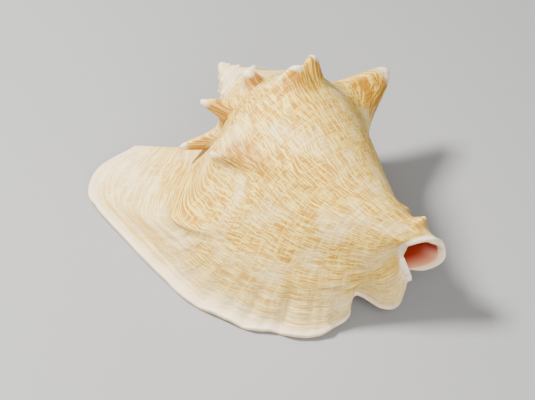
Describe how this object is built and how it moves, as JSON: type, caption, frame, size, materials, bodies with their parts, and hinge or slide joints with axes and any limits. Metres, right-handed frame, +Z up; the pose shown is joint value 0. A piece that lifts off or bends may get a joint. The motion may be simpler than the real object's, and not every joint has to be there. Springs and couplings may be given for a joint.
{
  "type": "conch shell",
  "caption": "Large spiral sea shell with a low pointed spire, blunt shoulder spines and a wide flared lip, resting on its opening with the front canal at one end.",
  "frame": {"origin": "centre of the bounding box in plan, on the plane the shell rests on", "axes": "+Z up, away from the opening; +X from the flared lip towards the end of the front canal; +Y towards the side where the spire points"},
  "size_m": [0.226, 0.1792, 0.12],
  "materials": {
    "shell": "semi-matt cream shell, glossy pink-orange inside"
  },
  "bodies": {
    "root": {"shell": "shell"}
  },
  "joints": []
}
